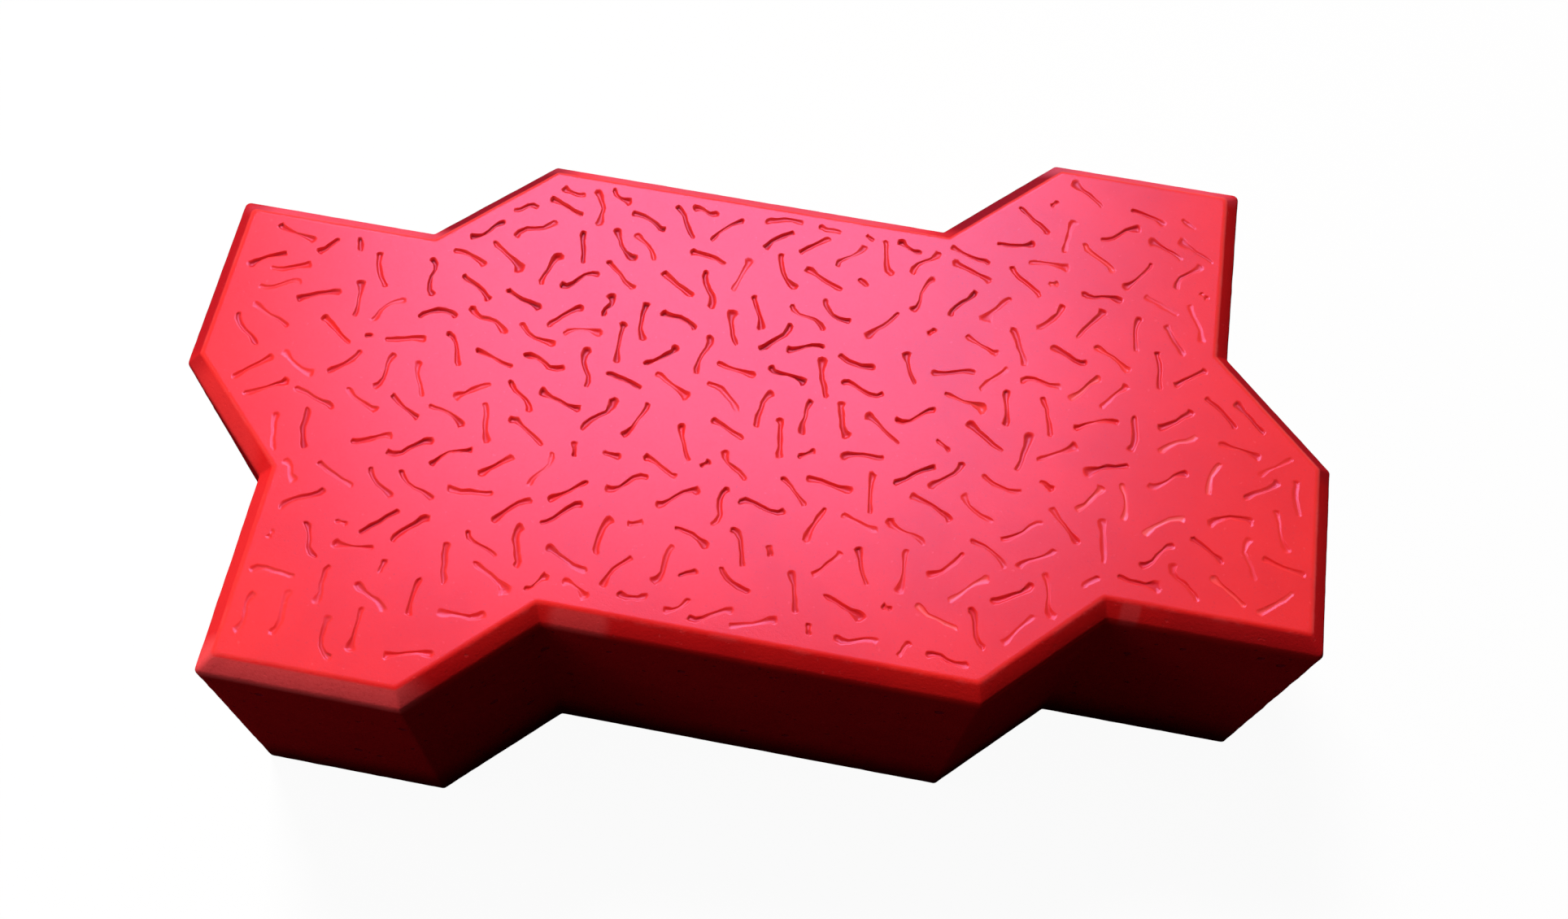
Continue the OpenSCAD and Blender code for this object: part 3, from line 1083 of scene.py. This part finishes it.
class MakeStone(bpy.types.Operator):
    """Makes the paving stone with its pressed strokes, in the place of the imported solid"""

    bl_idname = "paving.make_stone"
    bl_label = "Make paving stone"
    bl_options = {"REGISTER", "UNDO"}

    def execute(self, context):
        settings = context.scene.paving
        shape, pattern = settings.shape, settings.pattern
        # A cell is two straights longer than it is deep, and two straights and three steps deep.
        straight = (STONE_SIZE.x - STONE_SIZE.y) / 2
        sizes = {
            "Straight": straight,
            "Step": (STONE_SIZE.y + shape.joint_width - 2 * straight) / 3,
            "Half joint": shape.joint_width / 2,
            "Height": STONE_SIZE.z,
            "Chamfer width": shape.chamfer_width,
            "Chamfer depth": shape.chamfer_depth,
            "Corner radius": shape.corner_radius,
            "Arris radius": shape.arris_radius,
            "Bed radius": shape.bed_radius,
            "Shoulder radius": shape.shoulder_radius,
            "Facet length": shape.facet_length,
            "Edge wander": shape.edge_wander,
            "Lip": pattern.lip,
        }
        strokes = stroke_layout(pattern, FACE_MARGIN * shape.arris_radius + shape.edge_wander)
        points = bpy.data.meshes.new("stroke_points")
        points.from_pydata([(*s.middle, 0) for s in strokes], [], [])
        for name in STROKE_NUMBERS:
            attribute = points.attributes.new(name, "FLOAT", "POINT")
            attribute.data.foreach_set("value", [getattr(s, name) for s in strokes])
        concrete = concrete_material(settings.finish, shape)
        tree = stone_tree(sizes)
        mesh = plain_mesh(points, tree, {**sizes, "Concrete": concrete})
        helpers = [a.name for a in mesh.attributes if a.name in (*STROKE_NUMBERS, *TREE_ATTRIBUTES)]
        for name in helpers:
            mesh.attributes.remove(mesh.attributes[name])
        uses = Counter(key for polygon in mesh.polygons for key in polygon.edge_keys)
        if not uses or set(uses.values()) != {2}:
            raise RuntimeError("the stone isn't closed, so the strokes need another seed or smaller sizes")
        mesh.materials.clear()
        mesh.materials.append(concrete)
        mesh.polygons.foreach_set("material_index", [0] * len(mesh.polygons))
        stone = bpy.data.objects.new("paving_stone_cast", mesh)
        context.scene.collection.objects.link(stone)
        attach(stone, "root")
        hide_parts(NODE)
        return {"FINISHED"}


class MakeStage(bpy.types.Operator):
    """Makes the floor, the lights and the camera"""

    bl_idname = "paving.make_stage"
    bl_label = "Make stage"
    bl_options = {"REGISTER", "UNDO"}

    def execute(self, context):
        look = context.scene.paving.stage
        half = look.floor_size / 2
        mesh = bpy.data.meshes.new("floor")
        corners = [(-half, -half, 0), (half, -half, 0), (half, half, 0), (-half, half, 0)]
        mesh.from_pydata(corners, [], [(0, 1, 2, 3)])
        mesh.materials.append(floor_material(look))
        floor = bpy.data.objects.new("floor", mesh)
        context.scene.collection.objects.link(floor)

        light_world(look)
        key = soft_light("key", look.key_colour, look.key_power)
        fill = soft_light("fill", look.key_colour, look.fill_power)
        window = soft_light("window", look.window_colour, look.window_power)
        # The sheen on the pressed face comes from the window alone, and the light on it from the others.
        key.visible_glossy = False
        fill.visible_glossy = False
        window.visible_diffuse = False

        heading, elevation = look.camera_heading, look.camera_elevation
        sight = Vector((math.sin(heading) * math.cos(elevation), math.cos(heading) * math.cos(elevation),
                        -math.sin(elevation)))
        camera = bpy.data.cameras.new("camera")
        camera.sensor_width = SENSOR_WIDTH
        camera.lens = look.focal_length
        camera.shift_x, camera.shift_y = look.camera_shift
        camera.clip_start = NEAREST_SEEN
        viewer = bpy.data.objects.new("camera", camera)
        viewer.location = Vector(look.camera_aim) - sight * look.camera_distance
        viewer.rotation_mode = "QUATERNION"
        tilt = Quaternion((0, 0, 1), look.camera_tilt)
        viewer.rotation_quaternion = sight.to_track_quat("-Z", "Y") @ tilt
        context.scene.collection.objects.link(viewer)
        context.scene.camera = viewer
        context.scene.view_settings.view_transform = "Standard"
        return {"FINISHED"}


class PavingSettings(bpy.types.PropertyGroup):
    """All the settings of the stone and its stage."""

    shape: PointerProperty(type=StoneShape, name="Shape", description="Sizes of the stone")
    pattern: PointerProperty(type=StrokePattern, name="Pattern", description="Strokes of the wearing face")
    finish: PointerProperty(type=ConcreteFinish, name="Finish", description="Colours of the concrete")
    stage: PointerProperty(type=StageLook, name="Stage", description="Camera, floor and lights")


class PavingPanel(bpy.types.Panel):
    """Lists the stone's settings and its two operators"""

    bl_idname = "VIEW3D_PT_paving"
    bl_label = "Paving stone"
    bl_space_type = "VIEW_3D"
    bl_region_type = "UI"
    bl_category = "Paving"

    def draw(self, context):
        settings = context.scene.paving
        for group in (settings.shape, settings.pattern, settings.finish, settings.stage):
            box = self.layout.box()
            for name in group.__annotations__:
                box.prop(group, name)
        self.layout.operator(MakeStone.bl_idname)
        self.layout.operator(MakeStage.bl_idname)


CLASSES = (StoneShape, StrokePattern, ConcreteFinish, StageLook, PavingSettings,
           MakeStone, MakeStage, PavingPanel)


def register():
    for cls in CLASSES:
        bpy.utils.register_class(cls)
    bpy.types.Scene.paving = PointerProperty(type=PavingSettings)


def unregister():
    del bpy.types.Scene.paving
    for cls in reversed(CLASSES):
        bpy.utils.unregister_class(cls)


def main():
    register()
    bpy.ops.paving.make_stone()
    bpy.ops.paving.make_stage()


if __name__ == "__main__":
    main()
